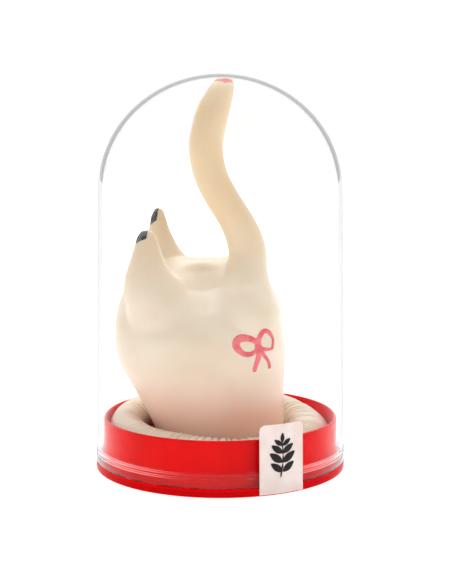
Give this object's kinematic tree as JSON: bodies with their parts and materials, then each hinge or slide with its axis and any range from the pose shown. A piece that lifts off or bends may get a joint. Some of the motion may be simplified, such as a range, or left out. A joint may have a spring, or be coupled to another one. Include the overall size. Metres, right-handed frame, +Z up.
{
  "type": "latex mouse figure in display dome",
  "caption": "Moulded latex mouse with a tall curved tail and a rolled collar, standing under a clear bell dome on a round red base, closed by a paper seal.",
  "frame": {"origin": "centre of the underside of the base, on the plane it stands on", "axes": "+Z up through the dome's crown, -X towards the mouse's head, +X towards its tail, -Y towards the side with the bow"},
  "size_m": [0.06, 0.06, 0.0935],
  "materials": {
    "base_plastic": "glossy moulded plastic",
    "dome_clear": "clear moulded plastic",
    "latex": "satin, slightly translucent latex",
    "latex_collar": "satin latex, finely wrinkled",
    "pink_paint": "thin brushed paint",
    "red_paint": "thin dipped paint",
    "charcoal_paint": "thin mottled paint",
    "brown_paint": "thin painted dots",
    "label_paper": "smooth white paper",
    "label_ink": "black print"
  },
  "bodies": {
    "base": {"base": "base_plastic"},
    "figure": {"figure_body": "latex", "rolled_collar": "latex_collar", "painted_bow": "pink_paint", "near_ear_paint": "charcoal_paint", "far_ear_paint": "charcoal_paint", "near_eye_paint": "brown_paint", "far_eye_paint": "brown_paint", "nose_paint": "brown_paint"},
    "tail": {"figure_tail": "latex", "tail_tip_paint": "red_paint"},
    "dome": {"dome": "dome_clear"},
    "seal": {"seal_label": "label_paper", "seal_motif": "label_ink"}
  },
  "joints": [
    {"name": "figure_lift", "type": "slide", "parent": "base", "child": "figure", "axis": [0, 0, 1], "range_m": [0, 0.03]},
    {"name": "tail_sway", "type": "hinge", "parent": "figure", "child": "tail", "pos_m": [0.006, 0, 0.038], "axis": [0, 1, 0], "range_deg": [-10, 1.5], "stiffness_Nm_per_rad": 0.01},
    {"name": "dome_lift", "type": "slide", "parent": "figure", "child": "dome", "axis": [0, 0, 1], "range_m": [0, 0.1]},
    {"name": "seal_peel", "type": "hinge", "parent": "dome", "child": "seal", "pos_m": [0.01372, -0.02647, 0.016], "axis": [-0.8878, -0.4602, 0], "range_deg": [0, 85]}
  ]
}
